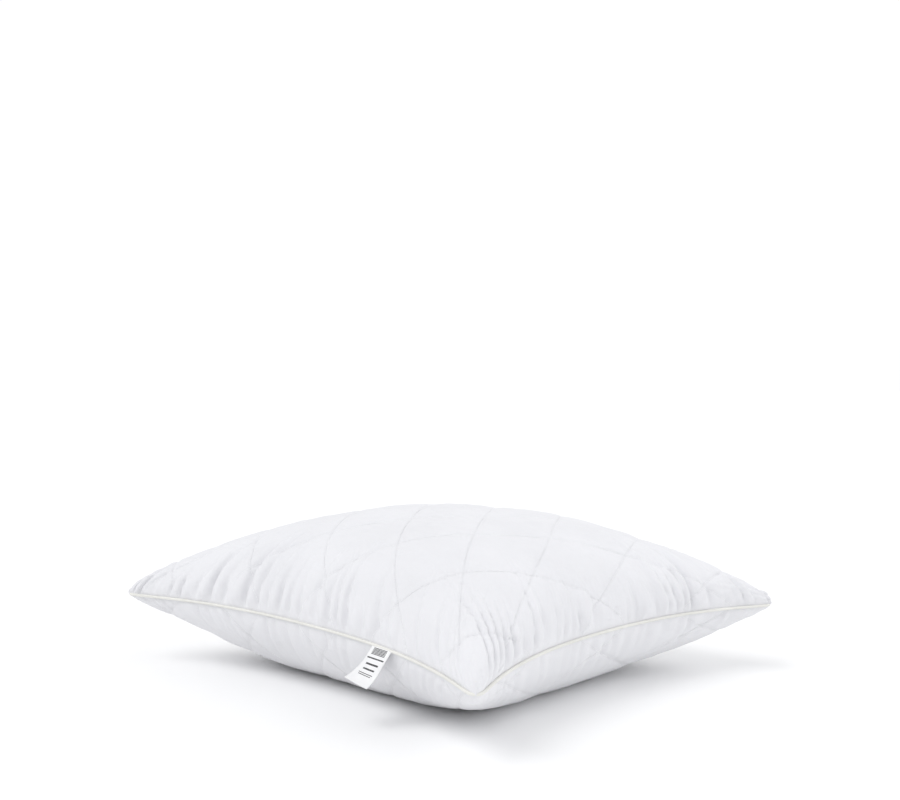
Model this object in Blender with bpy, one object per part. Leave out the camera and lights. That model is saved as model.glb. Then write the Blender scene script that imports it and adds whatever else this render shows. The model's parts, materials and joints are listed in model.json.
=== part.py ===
"""Quilted square bed pillow with a piped edge, lying flat on its belly.

Metres, +Z up, the belly rests on z = 0 and the pillow is centred on the Z axis.
The quilting diamonds are longest along X.  Each layer of the cover, the loose
filling, the piping and every sewing thread is a body of its own.
"""
import math

import bmesh
import bpy
from mathutils import Vector

# Casing and stuffed shape
CASING_SIDE = 0.700
STUFFED_SPAN = 0.690
SIDE_PULL = 0.068
PULL_POWER = 2.4
SEAM_HEIGHT = 0.099
CROWN_RISE = 0.134
BELLY_DROP = 0.126
CROWN_FULLNESS = 0.38
BELLY_FULLNESS = 0.50
DOME_POWER = 2.5
RIM_WALL = 0.0025
WRAP = 0.245

# Quilting
DIAMOND_LENGTH = 0.195
DIAMOND_WIDTH = 0.127
QUILT_SHIFT_X = -0.008
QUILT_SHIFT_Y = -0.0655
GROOVE = 0.0035
THREAD_WIDTH = 0.0008
THREAD_HEIGHT = 0.0004
THREAD_LIFT = 0.00045

# Layers of the cover
FABRIC = 0.0005
BACKING = 0.0004
WADDING_LINE = 0.0020
WADDING_EDGE = 0.0010
GAP = 0.0003

# Perimeter seam and piping
SEAM_ALLOWANCE = 0.012
FLANGE_LENGTH = 0.010
FLANGE_LEAF = 0.00035
FLANGE_SLIT = 0.0003
CORD_RADIUS = 0.0014
COVER_THICKNESS = 0.0004
SEAM_THREAD_INSET = 0.004
SEAM_THREAD_WIDTH = 0.0006
FILLING_INSET = 0.021

# Care label
LABEL_WIDTH = 0.040
LABEL_LENGTH = 0.058
LABEL_THICKNESS = 0.0006
LABEL_PLACE = -0.406
LABEL_OUT = 0.0018
LABEL_DROP = 0.0008

# Rows next to the seam, as angles round the edge of the stuffed shape
RIM_ANGLES = (76.0, 82.0, 87.0, 90.0)
LATTICE_END = 0.962

HALF_CASING = CASING_SIDE / 2
HALF_SPAN = STUFFED_SPAN / 2
STEP_X = DIAMOND_LENGTH / 4
STEP_Y = DIAMOND_WIDTH / 4
# Room for the straight-sided inner layers inside the curved sides
SIDE_CLEARANCE = 3.5 * SIDE_PULL * (DIAMOND_LENGTH / (2 * CASING_SIDE)) ** 2
FLANGE_HALF = FLANGE_SLIT / 2 + FLANGE_LEAF
LIP_LEVEL = FLANGE_HALF + GAP
PIPING_RADIUS = CORD_RADIUS + GAP + COVER_THICKNESS
PIPING_OUT = PIPING_RADIUS + GAP

COLOURS = {
    "cover_white": (0.86, 0.87, 0.89, 1.0, 0.85),
    "wadding_white": (0.90, 0.90, 0.90, 1.0, 0.95),
    "backing_white": (0.78, 0.79, 0.80, 1.0, 0.90),
    "fibre_white": (0.93, 0.93, 0.92, 1.0, 0.95),
    "piping_cream": (0.84, 0.78, 0.64, 1.0, 0.80),
    "cord_natural": (0.80, 0.75, 0.65, 1.0, 0.90),
    "thread_white": (0.92, 0.92, 0.92, 1.0, 0.60),
    "thread_cream": (0.86, 0.81, 0.70, 1.0, 0.60),
    "label_satin": (0.93, 0.93, 0.93, 1.0, 0.50),
}


def clear_scene():
    for item in list(bpy.data.objects):
        bpy.data.objects.remove(item, do_unlink=True)


def material(name):
    found = bpy.data.materials.get(name)
    if found:
        return found
    made = bpy.data.materials.new(name)
    made.use_nodes = True
    red, green, blue, alpha, rough = COLOURS[name]
    shader = made.node_tree.nodes["Principled BSDF"]
    shader.inputs["Base Color"].default_value = (red, green, blue, alpha)
    shader.inputs["Roughness"].default_value = rough
    made.diffuse_color = (red, green, blue, alpha)
    return made


def add_object(name, points, faces, slot, smooth=True):
    mesh = bpy.data.meshes.new(name)
    mesh.from_pydata([tuple(p) for p in points], [], faces)
    work = bmesh.new()
    work.from_mesh(mesh)
    if work.calc_volume(signed=True) < 0:
        bmesh.ops.reverse_faces(work, faces=work.faces)
    work.to_mesh(mesh)
    work.free()
    for face in mesh.polygons:
        face.use_smooth = smooth
    mesh.materials.append(material(slot))
    made = bpy.data.objects.new(name, mesh)
    bpy.context.collection.objects.link(made)
    return made


# The stuffed shape.  a and b run from -1 to 1 across it, u across the flat casing.

def curve_in(u):
    """Place on the stuffed shape of a place on the flat casing, as the fabric wraps."""
    return math.sin(math.pi / 2 * u * (1 - WRAP + WRAP * u * u))


def plan(a, b):
    width = HALF_SPAN - SIDE_PULL * (1 - abs(b) ** PULL_POWER)
    depth = HALF_SPAN - SIDE_PULL * (1 - abs(a) ** PULL_POWER)
    return Vector((a * width, b * depth, 0.0))


def dome(side, a, b):
    """Share of the full rise at a place, nothing at the rim and one in the middle."""
    share = (1 - abs(a) ** DOME_POWER) * (1 - abs(b) ** DOME_POWER)
    return max(0.0, share) ** (CROWN_FULLNESS if side > 0 else BELLY_FULLNESS)


def smooth_point(side, a, b):
    """Point of the smooth outer skin, side +1 for the top and -1 for the belly."""
    point = plan(a, b)
    rise = CROWN_RISE if side > 0 else BELLY_DROP
    on_rim = abs(a) == 1 or abs(b) == 1
    lift = LIP_LEVEL if on_rim else LIP_LEVEL + RIM_WALL + rise * dome(side, a, b)
    point.z = max(0.0, SEAM_HEIGHT + side * lift)
    return point


def skin_normal(side, a, b):
    """Outward normal of the skin, measured round the edge angles of the shape."""
    limit = math.radians(86)
    step = math.radians(0.5)
    p = max(-limit, min(limit, math.asin(a)))
    q = max(-limit, min(limit, math.asin(b)))
    along_a = smooth_point(side, math.sin(p + step), math.sin(q))
    along_a = along_a - smooth_point(side, math.sin(p - step), math.sin(q))
    along_b = smooth_point(side, math.sin(p), math.sin(q + step))
    along_b = along_b - smooth_point(side, math.sin(p), math.sin(q - step))
    return along_a.cross(along_b).normalized() * side


# Rows of the grid.  Each row is (place from -1 to 1, number in the quilting or None).

def rows(shift, step, every):
    found = []
    for number in range(-200, 201):
        flat = (shift + number * step) / HALF_CASING
        if number % every or abs(flat) >= 1:
            continue
        if abs(curve_in(flat)) <= LATTICE_END:
            found.append((curve_in(flat), number))
    rim = [math.sin(math.radians(angle)) for angle in RIM_ANGLES]
    before = [(-place, None) for place in reversed(rim)]
    after = [(place, None) for place in rim]
    return before + found + after


FINE = (rows(QUILT_SHIFT_X, STEP_X, 1), rows(QUILT_SHIFT_Y, STEP_Y, 1))
COARSE = (rows(QUILT_SHIFT_X, STEP_X, 2), rows(QUILT_SHIFT_Y, STEP_Y, 2))


def rising(i, j):
    return i is not None and j is not None and (i - j) % 4 == 0


def falling(i, j):
    return i is not None and j is not None and (i + j) % 4 == 0


def on_line(i, j):
    return rising(i, j) or falling(i, j)


def lattice_place(i, j):
    u = (QUILT_SHIFT_X + i * STEP_X) / HALF_CASING
    v = (QUILT_SHIFT_Y + j * STEP_Y) / HALF_CASING
    return curve_in(max(-1.0, min(1.0, u))), curve_in(max(-1.0, min(1.0, v)))


def inside(i, j):
    a, b = lattice_place(i, j)
    return abs(a) <= LATTICE_END and abs(b) <= LATTICE_END


def rim_share(a, b):
    """0 on the last row before the seam, 1 on the quilted part of the panel."""
    inner = math.sin(math.radians(RIM_ANGLES[0]))
    outer = math.sin(math.radians(RIM_ANGLES[2]))
    reach = max(abs(a), abs(b))
    return max(0.0, min(1.0, (outer - reach) / (outer - inner)))


def quilt_depth(a, b, i, j):
    """How far the quilting sinks the skin at one grid point."""
    if on_line(i, j):
        return GROOVE
    if i is None or j is None:
        return GROOVE * rim_share(a, b)
    return 0.0


def layer_point(side, a, b, depth):
    return smooth_point(side, a, b) - skin_normal(side, a, b) * depth


def crossing_point(side, i, j, depth):
    a, b = lattice_place(i, j)
    return layer_point(side, a, b, GROOVE + depth)


def skin_point(side, a, b, i, j, depth):
    """Skin point at a depth; the pulled thread keeps the quilting lines straight."""
    if on_line(i, j) and i % 2 and j % 2:
        turn = 1 if rising(i, j) else -1
        if inside(i - 1, j - turn) and inside(i + 1, j + turn):
            first = crossing_point(side, i - 1, j - turn, depth)
            second = crossing_point(side, i + 1, j + turn, depth)
            return (first + second) / 2
    return layer_point(side, a, b, quilt_depth(a, b, i, j) + depth)


def wadding_depth(a, b):
    """Depth of the wadding's inner face below the smooth skin."""
    edge = FABRIC + GAP + SIDE_CLEARANCE + WADDING_EDGE
    full = GROOVE + FABRIC + GAP + SIDE_CLEARANCE + WADDING_LINE
    return edge + (full - edge) * rim_share(a, b)


# Closed bodies from one set of triangles

def grid_cells(grid, margin, notch):
    """Grid triangles, leaving out rim rows and the square corners of the margin."""
    columns, lines = grid
    found = []
    last_c = len(columns) - 1
    last_l = len(lines) - 1
    for c in range(margin, last_c - margin):
        for r in range(margin, last_l - margin):
            near_c = min(c, last_c - 1 - c)
            near_r = min(r, last_l - 1 - r)
            if notch and near_c < notch and near_r < notch:
                continue
            found.extend(cell_triangles(columns, lines, c, r))
    return found


def cell_triangles(columns, lines, c, r):
    low = (c, r)
    right = (c + 1, r)
    far = (c + 1, r + 1)
    left = (c, r + 1)
    towards = columns[c][0] * lines[r][0]
    diagonal = towards < 0
    here = (columns[c][1], lines[r][1])
    across = (columns[c + 1][1], lines[r][1])
    if rising(*here) and rising(columns[c + 1][1], lines[r + 1][1]):
        diagonal = True
    if falling(*across) and falling(columns[c][1], lines[r + 1][1]):
        diagonal = False
    if diagonal:
        return [(low, right, far), (low, far, left)]
    return [(low, right, left), (right, far, left)]


def border(triangles):
    """Directed edges used once: the open edge of a set of triangles."""
    edges = {}
    for triangle in triangles:
        for k in range(3):
            edges[(triangle[k], triangle[(k + 1) % 3])] = True
    return [edge for edge in edges if (edge[1], edge[0]) not in edges]


def thick_body(name, triangles, outer, inner, slot):
    """Closed body between two copies of the same triangles."""
    keys = sorted({key for triangle in triangles for key in triangle}, key=str)
    index = {key: n for n, key in enumerate(keys)}
    count = len(keys)
    points = [outer[key] for key in keys] + [inner[key] for key in keys]
    faces = []
    for first, second, third in triangles:
        faces.append((index[first], index[second], index[third]))
        faces.append((index[third] + count, index[second] + count, index[first] + count))
    for start, end in border(triangles):
        faces.append((index[end], index[start], index[start] + count))
        faces.append((index[end], index[start] + count, index[end] + count))
    return add_object(name, points, faces, slot)


# Panels

def face_fabric(name, side):
    """Quilted face panel with its seam allowance turned in along the rim."""
    columns, lines = FINE
    triangles = grid_cells(FINE, 0, 0)
    outer = {}
    inner = {}
    for c, (a, i) in enumerate(columns):
        for r, (b, j) in enumerate(lines):
            outer[(c, r)] = skin_point(side, a, b, i, j, 0.0)
            inner[(c, r)] = skin_point(side, a, b, i, j, FABRIC)
    lip_scale = 1 - SEAM_ALLOWANCE / HALF_SPAN
    turn_scale = 1 - FABRIC / HALF_SPAN
    for start, end in border(triangles):
        for key in (start, end):
            a = columns[key[0]][0]
            b = lines[key[1]][0]
            level = SEAM_HEIGHT + side * LIP_LEVEL
            inside_level = level + side * FABRIC
            inner[key] = plan(a * turn_scale, b * turn_scale) + Vector((0, 0, inside_level))
            lip = (key[0], key[1], "lip")
            outer[lip] = plan(a * lip_scale, b * lip_scale) + Vector((0, 0, level))
            inner[lip] = plan(a * lip_scale, b * lip_scale) + Vector((0, 0, inside_level))
        start_lip = (start[0], start[1], "lip")
        end_lip = (end[0], end[1], "lip")
        triangles.append((end, start, start_lip))
        triangles.append((end, start_lip, end_lip))
    return thick_body(name, triangles, outer, inner, "cover_white")


def inner_layer(name, side, slot, outer_depth, inner_depth):
    """Layer under the face fabric, trimmed short of the seam and at the corners."""
    columns, lines = COARSE
    triangles = grid_cells(COARSE, 2, 5)
    outer = {}
    inner = {}
    for c, (a, i) in enumerate(columns):
        for r, (b, j) in enumerate(lines):
            outer[(c, r)] = layer_point(side, a, b, outer_depth(a, b, i, j))
            inner[(c, r)] = layer_point(side, a, b, inner_depth(a, b, i, j))
    return thick_body(name, triangles, outer, inner, slot)


def wadding(name, side):
    def outside(a, b, i, j):
        beside_seam = SIDE_CLEARANCE if i is None or j is None else SIDE_CLEARANCE / 6
        return quilt_depth(a, b, i, j) + FABRIC + GAP + beside_seam

    def inside_face(a, b, i, j):
        return wadding_depth(a, b)

    return inner_layer(name, side, "wadding_white", outside, inside_face)


def backing(name, side):
    def outside(a, b, i, j):
        return wadding_depth(a, b) + GAP

    def inside_face(a, b, i, j):
        return wadding_depth(a, b) + GAP + BACKING

    return inner_layer(name, side, "backing_white", outside, inside_face)


def filling(name):
    """Loose filling between the two backings, drawn in round the seam allowance."""
    columns, lines = COARSE
    triangles = grid_cells(COARSE, 2, 5)
    waist = 1 - FILLING_INSET / HALF_SPAN
    points = {}
    for c, (a, i) in enumerate(columns):
        for r, (b, j) in enumerate(lines):
            depth = wadding_depth(a, b) + GAP + BACKING + GAP
            points[(c, r, 1)] = layer_point(1, a, b, depth)
            points[(c, r, -1)] = layer_point(-1, a, b, depth)
            middle = plan(a * waist, b * waist)
            points[(c, r, 0)] = middle + Vector((0, 0, SEAM_HEIGHT))
    faces = []
    for triangle in triangles:
        faces.append([(c, r, 1) for c, r in triangle])
        faces.append([(c, r, -1) for c, r in reversed(triangle)])
    for start, end in border(triangles):
        for level, turn in ((1, 1), (-1, -1)):
            quad = [end + (level,), start + (level,), start + (0,), end + (0,)][::turn]
            faces.append([quad[0], quad[1], quad[2]])
            faces.append([quad[0], quad[2], quad[3]])
    used = sorted({key for face in faces for key in face})
    index = {key: n for n, key in enumerate(used)}
    numbered = [[index[key] for key in face] for face in faces]
    return add_object(name, [points[key] for key in used], numbered, "fibre_white")


# Quilting thread: a net of narrow strips lying in the grooves

ARMS = ((1, 1), (-1, 1), (-1, -1), (1, -1))


def crossings():
    found = []
    for i in range(-200, 201, 2):
        for j in range(-200, 201, 2):
            if on_line(i, j) and inside(i, j):
                found.append((i, j))
    return found


def arm_vectors(side, i, j):
    """Unit directions from a crossing to its four neighbours along the quilting."""
    here = crossing_point(side, i, j, 0.0)
    found = []
    for di, dj in ARMS:
        if inside(i + 2 * di, j + 2 * dj):
            towards = crossing_point(side, i + 2 * di, j + 2 * dj, 0.0) - here
        elif inside(i + di, j + dj):
            a, b = lattice_place(i + di, j + dj)
            towards = layer_point(side, a, b, GROOVE) - here
        else:
            towards = None
        found.append(towards.normalized() if towards else None)
    for k in range(4):
        if found[k] is None:
            found[k] = -found[(k + 2) % 4] if found[(k + 2) % 4] else Vector(ARMS[k] + (0,))
    return found


def quilting_thread(name, side):
    nodes = crossings()
    outer = {}
    inner = {}
    triangles = []
    for i, j in nodes:
        a, b = lattice_place(i, j)
        up = skin_normal(side, a, b)
        here = crossing_point(side, i, j, 0.0)
        arms = arm_vectors(side, i, j)
        reach = THREAD_WIDTH / 2 / arms[0].cross(arms[1]).length
        for k in range(4):
            spread = (arms[k] + arms[(k + 1) % 4]) * reach
            inner[(i, j, k)] = here + spread + up * THREAD_LIFT
            outer[(i, j, k)] = here + spread + up * (THREAD_LIFT + THREAD_HEIGHT)
        triangles.append(((i, j, 0), (i, j, 1), (i, j, 2)))
        triangles.append(((i, j, 0), (i, j, 2), (i, j, 3)))
        for k in range(4):
            strip = thread_strip(side, i, j, k, arms[k], up, outer, inner)
            triangles.extend(strip)
    return thick_body(name, triangles, outer, inner, "thread_white")


def thread_strip(side, i, j, k, along, up, outer, inner):
    """Strip from one crossing to the next, or a short tail at the edge of the net."""
    di, dj = ARMS[k]
    left = (i, j, k)
    right = (i, j, (k + 3) % 4)
    if inside(i + 2 * di, j + 2 * dj):
        if k > 1:
            return []
        back = (k + 2) % 4
        far = (i + 2 * di, j + 2 * dj)
        far_left = far + ((back + 3) % 4,)
        far_right = far + (back,)
    elif inside(i + di, j + dj):
        a, b = lattice_place(i + di, j + dj)
        end = layer_point(side, a, b, GROOVE)
        across = up.cross(along).normalized() * (THREAD_WIDTH / 2) * side
        far_left = (i, j, k, "left")
        far_right = (i, j, k, "right")
        for key, place in ((far_left, end + across), (far_right, end - across)):
            inner[key] = place + up * THREAD_LIFT
            outer[key] = place + up * (THREAD_LIFT + THREAD_HEIGHT)
    else:
        return []
    return [(left, right, far_right), (left, far_right, far_left)]


# Perimeter seam

def rim_loop(skip):
    """Places round the rim, anticlockwise, leaving out some rows next to the corners."""
    left_out = [math.sin(math.radians(RIM_ANGLES[n])) for n in skip]
    columns = [a for a, _ in FINE[0] if abs(a) not in left_out]
    lines = [b for b, _ in FINE[1] if abs(b) not in left_out]
    front = [(a, -1.0) for a in columns[:-1]]
    right = [(1.0, b) for b in lines[:-1]]
    back = [(a, 1.0) for a in reversed(columns[1:])]
    left = [(-1.0, b) for b in reversed(lines[1:])]
    return front + right + back + left


def outward(loop, n):
    """Outward direction at a rim place, lengthened where the rim turns."""
    before = plan(*loop[n - 1])
    here = plan(*loop[n])
    after = plan(*loop[(n + 1) % len(loop)])
    first = (here - before).normalized()
    second = (after - here).normalized()
    middle = Vector((first.y + second.y, -first.x - second.x, 0.0)).normalized()
    share = middle.dot(Vector((second.y, -second.x, 0.0)))
    return middle / share


def swept_ring(name, sections, slot):
    """Closed ring from matching sections, one per place round the rim."""
    size = len(sections[0])
    count = len(sections)
    points = [point for section in sections for point in section]
    faces = []
    for n in range(count):
        here = n * size
        after = ((n + 1) % count) * size
        for k in range(size):
            m = (k + 1) % size
            faces.append((here + k, after + k, after + m))
            faces.append((here + k, after + m, here + m))
    return add_object(name, points, faces, slot)


def piping_cord(name):
    loop = rim_loop((1, 2))
    sections = []
    for n, place in enumerate(loop):
        out = outward(loop, n)
        section = []
        for k in range(6):
            turn = math.radians(60 * k + 30)
            reach = PIPING_OUT + CORD_RADIUS * math.cos(turn)
            level = SEAM_HEIGHT + CORD_RADIUS * math.sin(turn)
            section.append(plan(*place) + out * reach + Vector((0, 0, level)))
        sections.append(section)
    return swept_ring(name, sections, "cord_natural")


def arc(radius, half_slit, count):
    """Section points round the cord, from above the slit over the outside to below it."""
    start = math.pi - math.asin(half_slit / radius)
    turns = [start - 2 * start * k / (count - 1) for k in range(count)]
    return [(PIPING_OUT + radius * math.cos(t), radius * math.sin(t)) for t in turns]


def piping_cover(name):
    """Bias strip folded round the cord; its two leaves lie between the seam allowances."""
    loop = rim_loop((1, 2))
    leaf_scale = 1 - FLANGE_LENGTH / HALF_SPAN
    outside = arc(PIPING_RADIUS, FLANGE_HALF, 7)
    inside_arc = arc(PIPING_RADIUS - COVER_THICKNESS, FLANGE_SLIT / 2, 7)
    sections = []
    for n, place in enumerate(loop):
        out = outward(loop, n)
        rim = plan(*place)
        end = plan(place[0] * leaf_scale, place[1] * leaf_scale)
        section = [end + Vector((0, 0, SEAM_HEIGHT + FLANGE_HALF))]
        section += [rim + out * r + Vector((0, 0, SEAM_HEIGHT + z)) for r, z in outside]
        section += [end + Vector((0, 0, SEAM_HEIGHT - FLANGE_HALF))]
        section += [end + Vector((0, 0, SEAM_HEIGHT - FLANGE_SLIT / 2))]
        returning = reversed(inside_arc)
        section += [rim + out * r + Vector((0, 0, SEAM_HEIGHT + z)) for r, z in returning]
        section += [end + Vector((0, 0, SEAM_HEIGHT + FLANGE_SLIT / 2))]
        sections.append(section)
    return swept_ring(name, sections, "piping_cream")


def seam_thread(name, side):
    """Line of stitching lying on the turned-in allowance of one panel."""
    near = 1 - SEAM_THREAD_INSET / HALF_SPAN
    far = near - SEAM_THREAD_WIDTH / HALF_SPAN
    base = LIP_LEVEL + FABRIC + GAP
    section = ((near, base), (far, base), ((near + far) / 2, base + SEAM_THREAD_WIDTH))
    sections = []
    for a, b in rim_loop((2,)):
        ring = []
        for scale, level in section:
            height = SEAM_HEIGHT + side * level
            ring.append(plan(a * scale, b * scale) + Vector((0, 0, height)))
        sections.append(ring)
    return swept_ring(name, sections, "thread_cream")


# Care label hanging under the piping on the -X side

def care_label(name):
    here = plan(-1.0, LABEL_PLACE)
    along = (plan(-1.0, LABEL_PLACE + 0.01) - plan(-1.0, LABEL_PLACE - 0.01)).normalized()
    out = Vector((-along.y, along.x, 0.0))
    top = SEAM_HEIGHT - PIPING_RADIUS - LABEL_DROP
    half = LABEL_WIDTH / 2
    thick = LABEL_THICKNESS / 2
    points = []
    for level in (top, top - LABEL_LENGTH):
        for across, depth in ((-half, -thick), (half, -thick), (half, thick), (-half, thick)):
            spot = here + along * across + out * (LABEL_OUT + depth)
            points.append(spot + Vector((0, 0, level)))
    faces = [(3, 2, 1, 0), (4, 5, 6, 7)]
    faces += [(k, (k + 1) % 4, 4 + (k + 1) % 4, 4 + k) for k in range(4)]
    return add_object(name, points, faces, "label_satin", smooth=False)


def build():
    clear_scene()
    face_fabric("top_face_fabric", 1)
    face_fabric("bottom_face_fabric", -1)
    wadding("top_wadding", 1)
    wadding("bottom_wadding", -1)
    backing("top_backing", 1)
    backing("bottom_backing", -1)
    filling("fibre_filling")
    quilting_thread("top_quilting_thread", 1)
    quilting_thread("bottom_quilting_thread", -1)
    piping_cord("piping_cord")
    piping_cover("piping_cover")
    seam_thread("seam_needle_thread", 1)
    seam_thread("seam_bobbin_thread", -1)
    care_label("care_label")


build()
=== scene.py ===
"""Looks of the quilted bed pillow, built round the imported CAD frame.

The two quilted panels are sewn at the rim and filled out by a cloth simulation,
then refined, stitched, piped and labelled.  Metres, same frame as the CAD.
"""
import json
import math

import bpy
import numpy as np
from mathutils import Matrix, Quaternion, Vector, noise


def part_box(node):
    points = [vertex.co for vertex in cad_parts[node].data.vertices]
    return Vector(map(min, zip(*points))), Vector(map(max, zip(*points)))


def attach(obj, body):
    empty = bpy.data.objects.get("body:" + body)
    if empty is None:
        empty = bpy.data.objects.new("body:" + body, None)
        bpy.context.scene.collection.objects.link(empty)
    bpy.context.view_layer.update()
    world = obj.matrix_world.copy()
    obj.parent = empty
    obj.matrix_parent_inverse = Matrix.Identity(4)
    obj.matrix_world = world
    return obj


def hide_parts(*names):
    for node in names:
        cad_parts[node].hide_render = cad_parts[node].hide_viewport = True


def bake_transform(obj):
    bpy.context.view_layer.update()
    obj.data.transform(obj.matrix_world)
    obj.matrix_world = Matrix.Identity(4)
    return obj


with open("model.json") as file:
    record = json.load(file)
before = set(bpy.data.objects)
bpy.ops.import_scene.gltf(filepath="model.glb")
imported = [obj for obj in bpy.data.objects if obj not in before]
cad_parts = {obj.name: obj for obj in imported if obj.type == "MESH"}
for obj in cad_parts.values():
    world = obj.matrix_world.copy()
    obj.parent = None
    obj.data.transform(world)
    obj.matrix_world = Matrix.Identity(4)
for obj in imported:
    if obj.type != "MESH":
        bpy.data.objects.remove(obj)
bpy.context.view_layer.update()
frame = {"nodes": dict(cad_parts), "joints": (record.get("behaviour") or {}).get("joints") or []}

# Casing, from the CAD part
CASING = 0.700
SPAN = 0.690
PULL = 0.068
PULL_POWER = 2.4
CORNER_TIP = 0.005
SEAM_Z = 0.099
CROWN = 0.134
BELLY = 0.126
CROWN_FULLNESS = 0.38
BELLY_FULLNESS = 0.50
DOME_POWER = 2.5
NEAR_CORNER_DROP = 0.013
CORNER_ROUNDING = 0.016
WRAP = 0.245
HALF = CASING / 2

# Creases running in from the seam
GATHER_START = 0.0060
GATHER_START_BELLY = 0.002
GATHER = 0.0086
FINE_GATHER = 0.0016
GATHER_LEAN = 0.08
GATHER_PITCH = 0.022
FINE_PITCH = 0.0096
BELLY_SHARE = 0.28

# Quilting
LONG = 0.195
SHORT = 0.127
SHIFT = (-0.008, -0.0655)
CELLS = 22
REFINE = 3
STITCH_PITCH = 0.0036
STITCH_LENGTH = 0.0030
STITCH_RADIUS = 0.00040
LINE_SPACING = (LONG / 2) * (SHORT / 2) / math.hypot(LONG / 2, SHORT / 2)

# Piping and label
PIPING_RADIUS = 0.0020
LABEL_WIDTH = 0.040
LABEL_LEAN = 38.0
LABEL_BIAS = 28.0
LABEL_BEND_START = 0.012
LABEL_BEND_RADIUS = 0.055

# Cloth simulation, run at ten times real size
SCALE = 10.0
EASE = 1.035
STEPS = 24
PRESSURE = 2.0
HOLD_PANEL = 0.30
HOLD_BESIDE_RIM = 0.22
HOLD_LINE = 0.62
HOLD_RIM = 0.80
LARGEST_MOVE = 0.014

# Studio, angles in degrees
AZIMUTH = -48.17
ELEVATION = 10.87
DISTANCE = 1.80
LENS = 47.15
AIM_UP = 9.55
AIM_SIDE = 0.45
ROLL = 1.5
KEY_LIGHT = 1.10
FILL_LIGHT = 0.95


# ---------------------------------------------------------------- flat casing

def grid_places(shift, step):
    """Rows of the flat casing in metres, on the quilting lattice, from rim to rim."""
    numbers = np.arange(-400, 401)
    inner = shift + numbers * step
    inner = inner[np.abs(inner) < HALF - 0.35 * step]
    return np.concatenate([[-HALF], inner, [HALF]])


def refined_places(places):
    index = np.arange(len(places))
    fine = np.linspace(0, len(places) - 1, (len(places) - 1) * REFINE + 1)
    return np.interp(fine, index, places)


XS = grid_places(SHIFT[0], LONG / CELLS)
YS = grid_places(SHIFT[1], SHORT / CELLS)


def line_distances(x, y):
    """Distance on the flat casing to the nearest quilting line of each family."""
    s = (x - SHIFT[0]) / (LONG / 2)
    t = (y - SHIFT[1]) / (SHORT / 2)
    rising = s - t
    falling = s + t
    rising = rising - 2 * np.round(rising / 2)
    falling = falling - 2 * np.round(falling / 2)
    return np.abs(rising) * LINE_SPACING, np.abs(falling) * LINE_SPACING


def curve_in(u):
    return np.sin(math.pi / 2 * u * (1 - WRAP + WRAP * u * u))


def plan(a, b):
    tip = CORNER_TIP * np.abs(a * b) ** 6
    width = SPAN / 2 + tip - PULL * (1 - np.abs(b) ** PULL_POWER)
    depth = SPAN / 2 + tip - PULL * (1 - np.abs(a) ** PULL_POWER)
    return a * width, b * depth


def field(x, y, size, seed):
    """Smooth noise over the flat casing, about -1 to 1."""
    flat = np.stack([x.ravel(), y.ravel()], 1)
    found = [noise.noise(Vector((p[0] / size + seed, p[1] / size, seed * 1.7))) for p in flat]
    return np.array(found).reshape(x.shape) * 1.6


def seam_height(a, b):
    """Height of the seam, a little lower at the heavy corner."""
    near = (np.clip(1 - a, 0, 2) / 2 * np.clip(1 - b, 0, 2) / 2) ** 3
    return SEAM_Z - NEAR_CORNER_DROP * near


def smooth_shape(side, x, y):
    """Stuffed outer skin without quilting."""
    a = curve_in(x / HALF)
    b = curve_in(y / HALF)
    px, py = plan(a, b)
    share = (1 - np.abs(a) ** DOME_POWER) * (1 - np.abs(b) ** DOME_POWER)
    dome = np.clip(share, 0, 1) ** (CROWN_FULLNESS if side > 0 else BELLY_FULLNESS)
    rise = CROWN if side > 0 else BELLY
    lump = 0.0035 * field(x, y, 0.16, 3.1 + side) * np.minimum(1, dome * 2)
    pz = seam_height(a, b) + side * (rise * dome + lump)
    return np.stack([px, py, pz], -1)


def ripple(place, pitch, sharp, seed):
    """Uneven ridges with sharp valleys between them, about -0.5 to 0.5."""
    beat = place / pitch + 0.62 * field(place, 0 * place, pitch * 2.4, seed)
    return np.abs(np.sin(math.pi * beat)) ** sharp - 0.5


def gathers(x, y, seed, long_height, short_height):
    """Height of the creases that run in from the seam where the fabric is eased in."""
    total = np.zeros_like(x)
    for axis in (0, 1):
        along, across = (y, x) if axis == 0 else (x, y)
        for end in (-1, 1):
            t = HALF - end * across
            key = seed + 5.3 * axis + 2.9 * end
            place = along * (1 + 0.35 * t / HALF) + end * GATHER_LEAN * t
            place = place + 0.007 * field(along + key, t * 0.5, 0.06, key)
            fold = field(place, 0 * t, 0.021, key + 1)
            reach = np.clip(0.066 + 0.062 * fold, 0.022, 0.16)
            height = np.clip(0.85 + 0.55 * field(place, 0 * t, 0.030, key + 4), 0.3, 1.4)
            fade = np.exp(-(t / reach) ** 1.8) * np.clip(t / 0.008, 0.15, 1)
            mid = np.cos(np.clip(along / HALF, -1, 1) * math.pi / 2) ** 0.5
            if end < 0:
                mid = mid * np.clip((along + HALF - 0.025) / 0.065, 0.12, 1)
            total = total + long_height * ripple(place, GATHER_PITCH, 0.6, key) * height * fade * mid
            close = np.exp(-(t / 0.021) ** 1.4) * np.clip(t / 0.004, 0.2, 1)
            total = total + short_height * ripple(place, FINE_PITCH, 0.9, key + 7) * close * mid
    return total


def normals(points):
    du = np.gradient(points, axis=0)
    dv = np.gradient(points, axis=1)
    n = np.cross(du, dv)
    return n / np.maximum(np.linalg.norm(n, axis=-1, keepdims=True), 1e-12)


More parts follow.
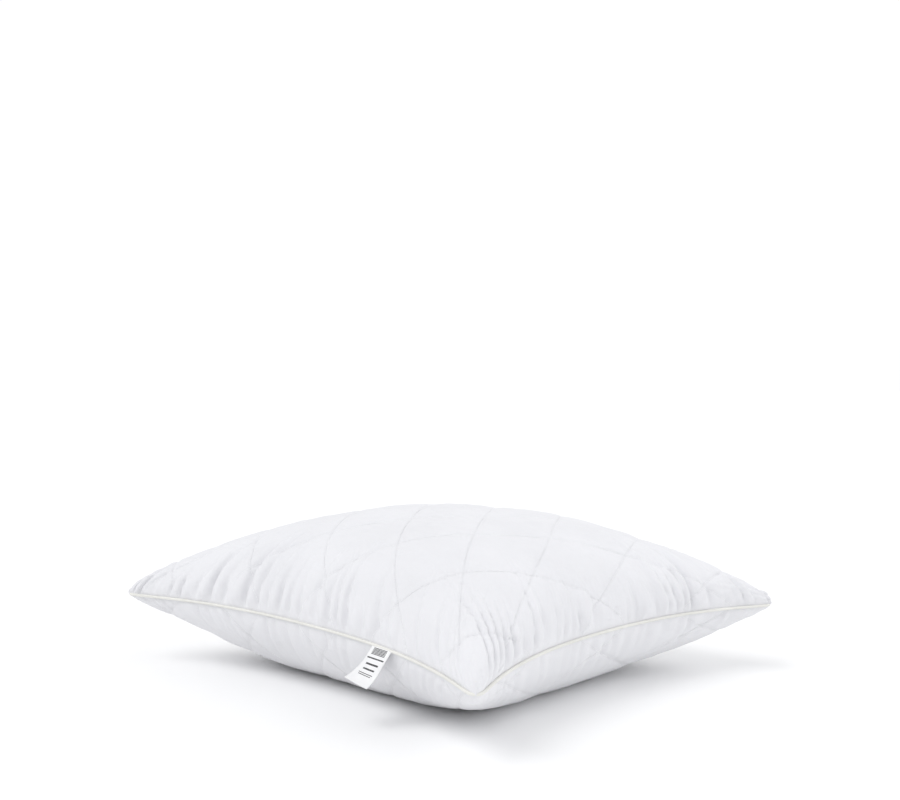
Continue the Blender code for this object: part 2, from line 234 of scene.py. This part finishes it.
def start_shape(side):
    """Skin with its quilting puffs and gathers roughly in place, before the simulation."""
    x, y = np.meshgrid(XS, YS, indexing="ij")
    points = smooth_shape(side, x, y)
    rising, falling = line_distances(x, y)
    nearest = np.minimum(rising, falling)
    groove = -0.0014 * np.exp(-(nearest / 0.0065) ** 1.1)
    start = GATHER_START if side > 0 else GATHER_START_BELLY
    height = groove + gathers(x, y, 1.0 if side > 0 else 9.0, start, 0.0)
    rim = np.minimum(HALF - np.abs(x), HALF - np.abs(y))
    height = height * np.clip(rim / 0.012, 0, 1)
    nose = np.exp(-((x + HALF - 0.06) ** 2 + (y + HALF - 0.06) ** 2) / 0.045 ** 2)
    height = height + (0.008 if side > 0 else 0.003) * nose * np.clip(rim / 0.02, 0, 1)
    points = points + side * normals(points) * height[..., None]
    edge = rim <= 0
    points[edge, 2] = seam_height(curve_in(x / HALF), curve_in(y / HALF))[edge]
    points[..., 2] = np.maximum(points[..., 2], 0.0)
    return points, nearest, rim


# ---------------------------------------------------------------- simulation

def closed_mesh():
    """Both panels sewn at the rim, as point arrays and quads."""
    columns, rows = len(XS), len(YS)
    top, near_top, rim = start_shape(1)
    bottom, near_bottom, _ = start_shape(-1)
    index_top = np.arange(columns * rows).reshape(columns, rows)
    index_bottom = index_top.copy()
    inside = rim > 0
    index_bottom[inside] = columns * rows + np.arange(inside.sum())
    points = np.concatenate([top.reshape(-1, 3), bottom[inside]])
    nearest = np.concatenate([near_top.ravel(), near_bottom[inside]])
    edge = np.concatenate([rim.ravel(), rim[inside]])
    x, y = np.meshgrid(XS, YS, indexing="ij")
    flat = np.stack([x, y, 0 * x + SEAM_Z], -1)
    flat = np.concatenate([flat.reshape(-1, 3), flat[inside]])
    faces = []
    for index, turn in ((index_top, 1), (index_bottom, -1)):
        quad = np.stack([index[:-1, :-1], index[1:, :-1], index[1:, 1:], index[:-1, 1:]], -1)
        faces += [list(q)[::turn] for q in quad.reshape(-1, 4).tolist()]
    return points, flat, nearest, edge, faces, index_top, index_bottom


def simulate(points, flat, nearest, edge, faces):
    """Fills the sewn panels out with pressure; quilting lines and seam hold their place."""
    mesh = bpy.data.meshes.new("sewn_panels")
    mesh.from_pydata((points * SCALE).tolist(), [], faces)
    panels = bpy.data.objects.new("sewn_panels", mesh)
    bpy.context.collection.objects.link(panels)
    panels.shape_key_add(name="Basis")
    cut = panels.shape_key_add(name="cut")
    eased = flat * np.array([EASE, EASE, 1.0]) * SCALE
    cut.data.foreach_set("co", eased.ravel())
    hold = panels.vertex_groups.new(name="hold")
    weight = np.full(len(points), HOLD_PANEL)
    weight[edge < 0.09] = HOLD_BESIDE_RIM
    weight[nearest < 0.0012] = HOLD_LINE
    weight[edge <= 0] = HOLD_RIM
    for level in np.unique(weight):
        hold.add(np.nonzero(weight == level)[0].tolist(), float(level), "REPLACE")
    cloth = panels.modifiers.new("Cloth", "CLOTH")
    fabric = cloth.settings
    fabric.quality = 5
    fabric.mass = 0.006
    fabric.tension_stiffness = 60
    fabric.compression_stiffness = 60
    fabric.shear_stiffness = 25
    fabric.bending_stiffness = 0.5
    fabric.tension_damping = 5
    fabric.compression_damping = 5
    fabric.shear_damping = 5
    fabric.bending_damping = 0.5
    fabric.rest_shape_key = cut
    fabric.vertex_group_mass = "hold"
    fabric.pin_stiffness = 1.0
    fabric.use_pressure = True
    fabric.uniform_pressure_force = PRESSURE
    fabric.effector_weights.gravity = 0
    cloth.collision_settings.use_collision = False
    cloth.point_cache.frame_start = 1
    cloth.point_cache.frame_end = 30
    scene = bpy.context.scene
    for step in range(1, STEPS + 1):
        scene.frame_set(step)
    graph = bpy.context.evaluated_depsgraph_get()
    solved = panels.evaluated_get(graph).to_mesh()
    found = np.empty(len(points) * 3)
    solved.vertices.foreach_get("co", found)
    bpy.data.objects.remove(panels, do_unlink=True)
    bpy.data.meshes.remove(mesh)
    scene.frame_set(1)
    return found.reshape(-1, 3) / SCALE


def filled_out():
    """Grids of the top and bottom panels after the simulation."""
    points, flat, nearest, edge, faces, index_top, index_bottom = closed_mesh()
    moved = simulate(points, flat, nearest, edge, faces) - points
    length = np.linalg.norm(moved, axis=1, keepdims=True)
    points = points + moved * np.minimum(1, LARGEST_MOVE / np.maximum(length, 1e-9))
    top = points[index_top]
    bottom = points[index_bottom]
    rest = bottom[..., 2]
    soft = 0.0012
    bottom[..., 2] = np.where(rest < soft, soft * np.exp((rest - soft) / soft), rest)
    bottom[..., 2] -= bottom[..., 2].min()
    return top, bottom


# ---------------------------------------------------------------- refinement

def refine_axis(points):
    """Catmull-Rom refinement along the first axis."""
    count = len(points)
    padded = np.concatenate([2 * points[:1] - points[1:2], points, 2 * points[-1:] - points[-2:-1]])
    out = np.empty(((count - 1) * REFINE + 1,) + points.shape[1:])
    p0, p1, p2, p3 = padded[:-3], padded[1:-2], padded[2:-1], padded[3:]
    for k in range(REFINE):
        t = k / REFINE
        value = p1 + 0.5 * t * (p2 - p0)
        value = value + t * t * (p0 - 2.5 * p1 + 2 * p2 - 0.5 * p3)
        value = value + t ** 3 * (1.5 * (p1 - p2) + 0.5 * (p3 - p0))
        out[k::REFINE][: count - 1] = value
    out[-1] = points[-1]
    return out


def refine(points):
    finer = refine_axis(points)
    return refine_axis(finer.transpose(1, 0, 2)).transpose(1, 0, 2)


def detail(points, side):
    """Crisp needle lines, small puckers beside them and cloth unevenness."""
    x, y = np.meshgrid(refined_places(XS), refined_places(YS), indexing="ij")
    rim = np.minimum(HALF - np.abs(x), HALF - np.abs(y))
    rising, falling = line_distances(x, y)
    cosine = LONG / math.hypot(LONG, SHORT)
    sine = SHORT / math.hypot(LONG, SHORT)
    height = np.zeros_like(x)
    for distance, along in ((rising, x * cosine + y * sine), (falling, x * cosine - y * sine)):
        height -= 0.0010 * np.exp(-distance / 0.0013)
        pucker = np.sin(2 * math.pi * (along + 0.004 * field(x, y, 0.03, 2.2)) / 0.0105)
        height += 0.00030 * pucker * np.exp(-distance / 0.0065) * np.clip(distance / 0.002, 0, 1)
    height += 0.00055 * field(x, y, 0.022, 5.0 + side)
    height *= np.clip(rim / 0.01, 0, 1)
    crisp = gathers(x, y, 1.0 if side > 0 else 9.0, GATHER, FINE_GATHER)
    height += crisp * np.clip(rim / 0.004, 0, 1) * (1.0 if side > 0 else BELLY_SHARE)
    out = points + side * normals(points) * height[..., None]
    out[..., 2] = np.maximum(out[..., 2], 0.0)
    return out, x, y


def rim_ring(grid):
    """Closed ring of rim points, anticlockwise from the -X -Y corner."""
    return np.concatenate([grid[:-1, 0], grid[-1, :-1], grid[:0:-1, -1], grid[0, :0:-1]])


def smooth_ring(ring, reach):
    """Gaussian smoothing of a closed ring over a length in metres."""
    step = np.linalg.norm(np.roll(ring, -1, 0) - ring, axis=1)
    place = np.concatenate([[0], np.cumsum(step)])
    total = place[-1]
    even = np.linspace(0, total, 1800, endpoint=False)
    closed = np.concatenate([ring, ring[:1]])
    sampled = np.stack([np.interp(even, place, closed[:, k]) for k in range(3)], 1)
    offset = np.arange(-60, 61) * total / 1800
    kernel = np.exp(-0.5 * (offset / reach) ** 2)
    kernel /= kernel.sum()
    out = sum(w * np.roll(sampled, k, 0) for w, k in zip(kernel, range(-60, 61)))
    return out, even, place[:-1]


def round_corners(top, bottom):
    """Draws the sharp corners of both panels in to the rounded seam line."""
    ring = rim_ring(top)
    smooth, even, place = smooth_ring(ring, CORNER_ROUNDING)
    total = even[-1] + even[1]
    target = np.stack([np.interp(place, even, smooth[:, k], period=total) for k in range(3)], 1)
    shift = target - ring
    columns, rows = top.shape[:2]
    for n in (0, columns - 1, columns + rows - 2, 2 * columns + rows - 3):
        beside = np.nonzero(np.linalg.norm(ring - ring[n], axis=1) < 0.09)[0]
        ramp = np.clip((0.09 - np.linalg.norm(ring[beside] - ring[n], axis=1)) / 0.03, 0, 1)
        for panel in (top, bottom):
            near = np.linalg.norm(panel - ring[n], axis=-1) < 0.11
            points = panel[near]
            far = np.linalg.norm(points[:, None] - ring[None, beside], axis=2)
            closest = far.min(1, keepdims=True)
            weight = np.exp(-(far ** 2 - closest ** 2) / (0.004 + closest) ** 2)
            weight = weight / weight.sum(1, keepdims=True)
            move = weight @ (shift[beside] * ramp[:, None])
            panel[near] = points + move * np.exp(-(closest / 0.035) ** 2)
    edge = np.zeros((columns, rows), bool)
    edge[[0, -1]] = True
    edge[:, [0, -1]] = True
    bottom[edge] = top[edge]


# ---------------------------------------------------------------- materials

def new_material(name, color, rough, sheen=0.0):
    made = bpy.data.materials.new(name)
    made.use_nodes = True
    shader = made.node_tree.nodes["Principled BSDF"]
    shader.inputs["Base Color"].default_value = (*color, 1)
    shader.inputs["Roughness"].default_value = rough
    shader.inputs["Specular IOR Level"].default_value = 0.25
    shader.inputs["Sheen Weight"].default_value = sheen
    shader.inputs["Sheen Roughness"].default_value = 0.5
    return made, made.node_tree, shader


def node(tree, kind, **values):
    made = tree.nodes.new(kind)
    for name, value in values.items():
        if name.startswith("in_"):
            made.inputs[name[3:].replace("_", " ")].default_value = value
        else:
            setattr(made, name, value)
    return made


def math_node(tree, operation, first, second=None):
    made = node(tree, "ShaderNodeMath", operation=operation)
    for slot, value in ((0, first), (1, second)):
        if value is None:
            continue
        if isinstance(value, (int, float)):
            made.inputs[slot].default_value = value
        else:
            tree.links.new(value, made.inputs[slot])
    return made.outputs[0]


def color_variation(tree, source, dark, light, scale):
    """Slight mottling of the base colour."""
    cloud = node(tree, "ShaderNodeTexNoise", in_Scale=scale, in_Detail=4.0)
    tree.links.new(source, cloud.inputs["Vector"])
    ramp = node(tree, "ShaderNodeValToRGB")
    ramp.color_ramp.elements[0].position = 0.30
    ramp.color_ramp.elements[1].position = 0.70
    ramp.color_ramp.elements[0].color = (*dark, 1)
    ramp.color_ramp.elements[1].color = (*light, 1)
    tree.links.new(cloud.outputs["Fac"], ramp.inputs["Fac"])
    return ramp.outputs["Color"]


def weave_height(tree, source, pitch):
    """Plain weave from two crossed threads, in the plane of the given coordinates."""
    parts = node(tree, "ShaderNodeSeparateXYZ")
    tree.links.new(source, parts.inputs[0])
    turn = 2 * math.pi / pitch
    warp = math_node(tree, "SINE", math_node(tree, "MULTIPLY", parts.outputs[0], turn))
    weft = math_node(tree, "SINE", math_node(tree, "MULTIPLY", parts.outputs[1], turn))
    return math_node(tree, "MULTIPLY", warp, weft)


def fabric_material(name, dark, light, rough, pitch, sheen):
    made, tree, shader = new_material(name, light, rough, sheen)
    place = node(tree, "ShaderNodeUVMap", uv_map="flat")
    base = color_variation(tree, place.outputs[0], dark, light, 9.0)
    weave = weave_height(tree, place.outputs[0], pitch)
    tone = math_node(tree, "MULTIPLY_ADD", weave, 0.5)
    tone.node.inputs[2].default_value = 0.5
    mix = node(tree, "ShaderNodeMix", data_type="RGBA", blend_type="MULTIPLY")
    mix.inputs[0].default_value = 0.06
    tree.links.new(base, mix.inputs[6])
    tree.links.new(tone, mix.inputs[7])
    tree.links.new(mix.outputs[2], shader.inputs["Base Color"])
    slub = node(tree, "ShaderNodeTexNoise", in_Scale=420.0, in_Detail=3.0)
    tree.links.new(place.outputs[0], slub.inputs["Vector"])
    crease = node(tree, "ShaderNodeTexNoise", in_Scale=60.0, in_Detail=3.0)
    tree.links.new(place.outputs[0], crease.inputs["Vector"])
    fine = node(tree, "ShaderNodeBump", in_Strength=0.35, in_Distance=0.00008)
    tree.links.new(weave, fine.inputs["Height"])
    middle = node(tree, "ShaderNodeBump", in_Strength=0.30, in_Distance=0.00015)
    tree.links.new(slub.outputs["Fac"], middle.inputs["Height"])
    tree.links.new(fine.outputs[0], middle.inputs["Normal"])
    broad = node(tree, "ShaderNodeBump", in_Strength=0.35, in_Distance=0.0006)
    tree.links.new(crease.outputs["Fac"], broad.inputs["Height"])
    tree.links.new(middle.outputs[0], broad.inputs["Normal"])
    tree.links.new(broad.outputs[0], shader.inputs["Normal"])
    gloss = math_node(tree, "MULTIPLY_ADD", slub.outputs["Fac"], 0.16)
    gloss.node.inputs[2].default_value = rough - 0.08
    tree.links.new(gloss, shader.inputs["Roughness"])
    return made


def thread_material(name, dark, light):
    made, tree, shader = new_material(name, light, 0.55, 0.1)
    place = node(tree, "ShaderNodeTexCoord")
    base = color_variation(tree, place.outputs["Object"], dark, light, 700.0)
    tree.links.new(base, shader.inputs["Base Color"])
    twist = node(tree, "ShaderNodeTexWave", in_Scale=900.0, in_Distortion=2.0)
    twist.bands_direction = "DIAGONAL"
    tree.links.new(place.outputs["Object"], twist.inputs["Vector"])
    bump = node(tree, "ShaderNodeBump", in_Strength=0.4, in_Distance=0.00008)
    tree.links.new(twist.outputs["Fac"], bump.inputs["Height"])
    tree.links.new(bump.outputs[0], shader.inputs["Normal"])
    return made


def label_material():
    """White satin ribbon with plain printed rules and blocks, no letters."""
    made, tree, shader = new_material("label_satin_ribbon", (0.90, 0.90, 0.90), 0.38, 0.15)
    place = node(tree, "ShaderNodeUVMap", uv_map="flat")
    parts = node(tree, "ShaderNodeSeparateXYZ")
    tree.links.new(place.outputs[0], parts.inputs[0])
    across, down = parts.outputs[0], parts.outputs[1]
    ink = None
    bars = ((0.0180, 0.0009, 0.0165), (0.0262, 0.0012, 0.0120), (0.0335, 0.0011, 0.0105))
    bars += ((0.0400, 0.0005, 0.0125), (0.0425, 0.0005, 0.0110))
    bars += tuple((0.0045 + 0.0016 * k, 0.0005, 0.0135) for k in range(6))
    for level, half_height, half_width in bars:
        near = math_node(tree, "ABSOLUTE", math_node(tree, "SUBTRACT", down, level))
        inside = math_node(tree, "LESS_THAN", near, half_height)
        wide = math_node(tree, "LESS_THAN", math_node(tree, "ABSOLUTE", across), half_width)
        bar = math_node(tree, "MULTIPLY", inside, wide)
        ink = bar if ink is None else math_node(tree, "MAXIMUM", ink, bar)
    worn = node(tree, "ShaderNodeTexNoise", in_Scale=900.0, in_Detail=2.0)
    tree.links.new(place.outputs[0], worn.inputs["Vector"])
    print_level = math_node(tree, "MULTIPLY", ink, math_node(tree, "GREATER_THAN", worn.outputs["Fac"], 0.33))
    mix = node(tree, "ShaderNodeMix", data_type="RGBA")
    cloth = color_variation(tree, place.outputs[0], (0.84, 0.84, 0.85), (0.91, 0.91, 0.91), 60.0)
    tree.links.new(print_level, mix.inputs[0])
    tree.links.new(cloth, mix.inputs[6])
    mix.inputs[7].default_value = (0.045, 0.045, 0.05, 1)
    tree.links.new(mix.outputs[2], shader.inputs["Base Color"])
    weave = weave_height(tree, place.outputs[0], 0.0005)
    bump = node(tree, "ShaderNodeBump", in_Strength=0.3, in_Distance=0.00006)
    tree.links.new(weave, bump.inputs["Height"])
    tree.links.new(bump.outputs[0], shader.inputs["Normal"])
    return made


# ---------------------------------------------------------------- mesh pieces

def grid_object(name, points, u, v, side, surface):
    """Smooth quad grid with the flat casing coordinates as its UV map."""
    columns, rows = points.shape[:2]
    index = np.arange(columns * rows).reshape(columns, rows)
    quads = np.stack([index[:-1, :-1], index[1:, :-1], index[1:, 1:], index[:-1, 1:]], -1)
    quads = quads.reshape(-1, 4)
    if side < 0:
        quads = quads[:, ::-1]
    mesh = bpy.data.meshes.new(name)
    mesh.from_pydata(points.reshape(-1, 3).tolist(), [], quads.tolist())
    flat = np.stack([u.ravel(), v.ravel()], 1)[quads.ravel()]
    layer = mesh.uv_layers.new(name="flat")
    layer.data.foreach_set("uv", flat.ravel())
    mesh.polygons.foreach_set("use_smooth", [True] * len(mesh.polygons))
    mesh.materials.append(surface)
    made = bpy.data.objects.new(name, mesh)
    bpy.context.collection.objects.link(made)
    return made


def sampler(points):
    """Place on a refined panel for a place on the flat casing."""
    xs = refined_places(XS)
    ys = refined_places(YS)

    def at(x, y):
        c = np.interp(x, xs, np.arange(len(xs)))
        r = np.interp(y, ys, np.arange(len(ys)))
        c0 = np.minimum(c.astype(int), len(xs) - 2)
        r0 = np.minimum(r.astype(int), len(ys) - 2)
        s = (c - c0)[:, None]
        t = (r - r0)[:, None]
        low = points[c0, r0] * (1 - s) + points[c0 + 1, r0] * s
        high = points[c0, r0 + 1] * (1 - s) + points[c0 + 1, r0 + 1] * s
        return low * (1 - t) + high * t

    return at


def line_runs():
    """Start and end of each quilting line on the flat casing."""
    limit = HALF - 0.002
    found = []
    for slope in (SHORT / LONG, -SHORT / LONG):
        for number in range(-12, 13):
            offset = SHIFT[1] + number * SHORT - slope * SHIFT[0]
            ends = [(x, slope * x + offset) for x in (-limit, limit)]
            for y in (-limit, limit):
                ends.append(((y - offset) / slope, y))
            inside = [p for p in ends if abs(p[0]) <= limit + 1e-9 and abs(p[1]) <= limit + 1e-9]
            inside.sort()
            if len(inside) >= 2 and math.dist(inside[0], inside[-1]) > 0.02:
                found.append((inside[0], inside[-1]))
    return found


def stitches(name, points, side, surface):
    """Every visible stitch of the quilting, as a small spindle sunk in the groove."""
    at = sampler(points)
    shape = []
    for place, reach in ((-0.5, 0.25), (-0.3, 0.9), (0.3, 0.9), (0.5, 0.25)):
        for k in range(5):
            turn = 2 * math.pi * k / 5
            shape.append((place, reach * math.cos(turn), reach * math.sin(turn)))
    shape = np.array(shape)
    quads = []
    for ring in range(3):
        for k in range(5):
            m = (k + 1) % 5
            quads.append((ring * 5 + k, ring * 5 + m, ring * 5 + 5 + m, ring * 5 + 5 + k))
    caps = [(4, 3, 2, 1, 0), (15, 16, 17, 18, 19)]
    chunks = []
    for start, end in line_runs():
        start, end = np.array(start), np.array(end)
        span = np.linalg.norm(end - start)
        count = int(span / STITCH_PITCH)
        middle = (np.arange(count) + 0.5) / count
        half = STITCH_LENGTH / 2 / span
        flat = [start + (end - start) * (middle + shift)[:, None] for shift in (-half, 0, half)]
        first, last = (at(p[:, 0], p[:, 1]) for p in (flat[0], flat[2]))
        along = last - first
        size = np.linalg.norm(along, axis=1, keepdims=True)
        along /= np.maximum(size, 1e-9)
        aside = at(flat[1][:, 0] + 0.003, flat[1][:, 1]) - at(flat[1][:, 0] - 0.003, flat[1][:, 1])
        other = at(flat[1][:, 0], flat[1][:, 1] + 0.003) - at(flat[1][:, 0], flat[1][:, 1] - 0.003)
        up = np.cross(aside, other) * side
        up /= np.linalg.norm(up, axis=1, keepdims=True)
        up = up - along * (up * along).sum(1, keepdims=True)
        across = np.cross(up, along)
        base = (first + last) / 2 + up * 0.00018
        body = base[:, None] + along[:, None] * shape[None, :, :1] * size[:, None]
        body = body + across[:, None] * shape[None, :, 1:2] * STITCH_RADIUS
        body = body + up[:, None] * shape[None, :, 2:] * STITCH_RADIUS
        chunks.append(body)
    bodies = np.concatenate(chunks)
    bodies[..., 2] = np.maximum(bodies[..., 2], 0.0002)
    faces = []
    for n in range(len(bodies)):
        faces += [tuple(n * 20 + k for k in quad) for quad in quads + caps]
    mesh = bpy.data.meshes.new(name)
    mesh.from_pydata(bodies.reshape(-1, 3).tolist(), [], faces)
    mesh.polygons.foreach_set("use_smooth", [True] * len(mesh.polygons))
    mesh.materials.append(surface)
    made = bpy.data.objects.new(name, mesh)
    bpy.context.collection.objects.link(made)
    return made


def piping(name, ring, surface):
    """Cord in its bias strip along the seam, with the small puckers of a sewn edge."""
    path, even, _ = smooth_ring(ring, 0.0080)
    tangent = np.roll(path, -1, 0) - np.roll(path, 1, 0)
    tangent /= np.linalg.norm(tangent, axis=1, keepdims=True)
    out = np.stack([tangent[:, 1], -tangent[:, 0], 0 * tangent[:, 0]], 1)
    out /= np.linalg.norm(out, axis=1, keepdims=True)
    up = np.cross(out, tangent)
    up *= np.sign(up[:, 2:3])
    count, sides = len(path), 12
    wobble = np.array([noise.noise(Vector((s / 0.02, 4.2, 1.1))) for s in even])
    points = np.empty((count + 1, sides + 1, 3))
    for k in range(sides + 1):
        turn = 2 * math.pi * (k % sides) / sides
        pucker = 1 + 0.035 * np.sin(2 * math.pi * even / 0.0042 + 2 * turn) + 0.06 * wobble
        reach = PIPING_RADIUS * pucker
        centre = path + out * (PIPING_RADIUS * 0.9)
        spot = centre + out * (np.cos(turn) * reach)[:, None] + up * (np.sin(turn) * reach)[:, None]
        points[:-1, k] = spot
    points[-1] = points[0]
    index = (np.arange(count)[:, None] * sides + np.arange(sides)[None]) % (count * sides)
    index = np.concatenate([index, index[:1]])
    index = np.concatenate([index, index[:, :1]], 1)
    quads = np.stack([index[:-1, :-1], index[1:, :-1], index[1:, 1:], index[:-1, 1:]], -1)
    quads = quads.reshape(-1, 4)
    mesh = bpy.data.meshes.new(name)
    mesh.from_pydata(points[:-1, :-1].reshape(-1, 3).tolist(), [], quads.tolist())
    total = even[-1] + even[1]
    u = np.repeat(np.linspace(0, total, count + 1)[:, None], sides + 1, 1)
    v = np.repeat(np.linspace(0, 2 * math.pi * PIPING_RADIUS, sides + 1)[None], count + 1, 0)
    lean = np.stack([u + v, u - v], -1)
    corners = [lean[:-1, :-1], lean[1:, :-1], lean[1:, 1:], lean[:-1, 1:]]
    layer = mesh.uv_layers.new(name="flat")
    layer.data.foreach_set("uv", np.stack(corners, 2).ravel())
    mesh.polygons.foreach_set("use_smooth", [True] * len(mesh.polygons))
    mesh.materials.append(surface)
    made = bpy.data.objects.new(name, mesh)
    bpy.context.collection.objects.link(made)
    return made


def care_label(name, surface):
    """Satin ribbon leaning out from the seam, bowed and curling at its free end."""
    joint = frame["joints"][0]
    pivot = Vector(joint["pos_m"])
    axis = Vector(joint["axis"]).normalized()
    out = Vector((-axis.y, axis.x, 0)).normalized()
    low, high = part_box("care_label")
    length = high[2] - low[2]
    across = np.linspace(-0.5, 0.5, 21)
    down = np.linspace(0, 1, 41)
    points = np.empty((len(across), len(down), 3))
    bias = math.radians(LABEL_BIAS)
    lean = math.radians(LABEL_LEAN)
    for c, s in enumerate(across):
        for r, t in enumerate(down):
            along, drop = s * LABEL_WIDTH, t * length
            past = drop * math.cos(bias) + (along - LABEL_WIDTH / 2) * math.sin(bias) - LABEL_BEND_START
            turn = max(0.0, past) / LABEL_BEND_RADIUS
            lift = LABEL_BEND_RADIUS * (1 - math.cos(turn))
            short = max(0.0, past) - LABEL_BEND_RADIUS * math.sin(turn)
            flat_along = along - short * math.sin(bias)
            flat_drop = drop - short * math.cos(bias)
            reach = flat_drop * math.sin(lean) + lift * math.cos(lean)
            fall = flat_drop * math.cos(lean) - lift * math.sin(lean)
            points[c, r] = pivot + axis * flat_along + out * reach - Vector((0, 0, fall))
    u = np.repeat(across[:, None] * LABEL_WIDTH, len(down), 1)
    v = np.repeat(down[None] * length, len(across), 0)
    made = grid_object(name, points, u, v, 1, surface)
    thick = made.modifiers.new("ply", "SOLIDIFY")
    thick.thickness = 0.0005
    thick.offset = 0
    return made


# ---------------------------------------------------------------- build

cover = fabric_material("cover_white_weave", (0.79, 0.79, 0.811), (0.83, 0.83, 0.851), 0.82, 0.0007, 0.15)
cream = fabric_material("piping_cream_bias", (0.79, 0.783, 0.74), (0.87, 0.863, 0.82), 0.78, 0.0006, 0.1)
thread = thread_material("quilting_thread_white", (0.86, 0.86, 0.88), (0.94, 0.94, 0.95))
seam_thread = thread_material("seam_thread_cream", (0.70, 0.65, 0.54), (0.86, 0.81, 0.70))

top_grid, bottom_grid = filled_out()
round_corners(top_grid, bottom_grid)
top_fine, flat_x, flat_y = detail(refine(top_grid), 1)
bottom_fine, _, _ = detail(refine(bottom_grid), -1)

top_panel = grid_object("top_quilted_panel", top_fine, flat_x, flat_y, 1, cover)
bottom_panel = grid_object("bottom_quilted_panel", bottom_fine, flat_x, flat_y, -1, cover)
top_stitches = stitches("top_quilting_stitches", top_fine, 1, thread)
bottom_stitches = stitches("bottom_quilting_stitches", bottom_fine, -1, thread)
edge_piping = piping("edge_piping", rim_ring(top_fine), cream)
label = care_label("care_label_ribbon", label_material())

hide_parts("top_face_fabric", "top_wadding", "top_backing", "fibre_filling")
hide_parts("bottom_face_fabric", "bottom_wadding", "bottom_backing")
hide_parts("top_quilting_thread")
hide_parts("bottom_quilting_thread")
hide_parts("piping_cover", "piping_cord")
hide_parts("care_label")
for thread_node in ("seam_needle_thread", "seam_bobbin_thread"):
    frame["nodes"][thread_node].material_slots[0].material = seam_thread

for piece in (top_panel, bottom_panel, top_stitches, bottom_stitches, edge_piping):
    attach(piece, "pillow")
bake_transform(label)


# ---------------------------------------------------------------- studio

def studio():
    mesh = bpy.data.meshes.new("floor")
    size = 60.0
    corners = [(-size, -size, 0), (size, -size, 0), (size, size, 0), (-size, size, 0)]
    mesh.from_pydata(corners, [], [(0, 1, 2, 3)])
    floor = bpy.data.objects.new("floor", mesh)
    bpy.context.collection.objects.link(floor)
    paper, tree, shader = new_material("floor_paper", (0.96, 0.96, 0.96), 0.9)
    place = node(tree, "ShaderNodeTexCoord")
    dark, light = (0.955, 0.955, 0.955), (0.965, 0.965, 0.965)
    tone = color_variation(tree, place.outputs["Object"], dark, light, 2.0)
    tree.links.new(tone, shader.inputs["Base Color"])
    mesh.materials.append(paper)
    floor.location.z = -0.0004
    world = bpy.data.worlds.new("studio")
    world.use_nodes = True
    tree = world.node_tree
    place = node(tree, "ShaderNodeTexCoord")
    facing = node(tree, "ShaderNodeVectorMath", operation="DOT_PRODUCT")
    facing.inputs[1].default_value = (0.745, 0.667, 0.0)
    tree.links.new(place.outputs["Generated"], facing.inputs[0])
    ramp = node(tree, "ShaderNodeValToRGB")
    ramp.color_ramp.elements[0].position = 0.50
    ramp.color_ramp.elements[1].position = 0.78
    ramp.color_ramp.elements[0].color = (0.68, 0.685, 0.70, 1)
    ramp.color_ramp.elements[1].color = (1.0, 1.0, 1.0, 1)
    tree.links.new(facing.outputs["Value"], ramp.inputs["Fac"])
    sky = tree.nodes["Background"]
    tree.links.new(ramp.outputs["Color"], sky.inputs["Color"])
    sky.inputs["Strength"].default_value = 1.02
    bpy.context.scene.world = world
    for name, spot, spread, power in (
        ("key", (-1.0, 0.30, 1.3), 40, KEY_LIGHT),
        ("fill", (0.9, -1.1, 0.55), 80, FILL_LIGHT),
    ):
        light = bpy.data.lights.new(name, "SUN")
        light.energy = power
        light.angle = math.radians(spread)
        lamp = bpy.data.objects.new(name, light)
        bpy.context.collection.objects.link(lamp)
        lamp.location = spot
        lamp.rotation_euler = Vector(spot).to_track_quat("Z", "Y").to_euler()
    bpy.context.scene.view_settings.view_transform = "Standard"


def camera():
    azimuth, elevation = math.radians(AZIMUTH), math.radians(ELEVATION)
    flat = math.cos(elevation)
    back = Vector((math.sin(azimuth) * flat, -math.cos(azimuth) * flat, math.sin(elevation)))
    data = bpy.data.cameras.new("camera")
    data.sensor_width = 36
    data.lens = LENS
    made = bpy.data.objects.new("camera", data)
    bpy.context.collection.objects.link(made)
    made.location = Vector((0, 0, 0.1)) + back * DISTANCE
    turn = azimuth + math.radians(AIM_SIDE)
    tilt = elevation - math.radians(AIM_UP)
    ahead = Vector((-math.sin(turn) * math.cos(tilt), math.cos(turn) * math.cos(tilt), -math.sin(tilt)))
    level = ahead.to_track_quat("-Z", "Y")
    made.rotation_euler = (level @ Quaternion((0, 0, 1), math.radians(ROLL))).to_euler()
    bpy.context.scene.camera = made


studio()
camera()
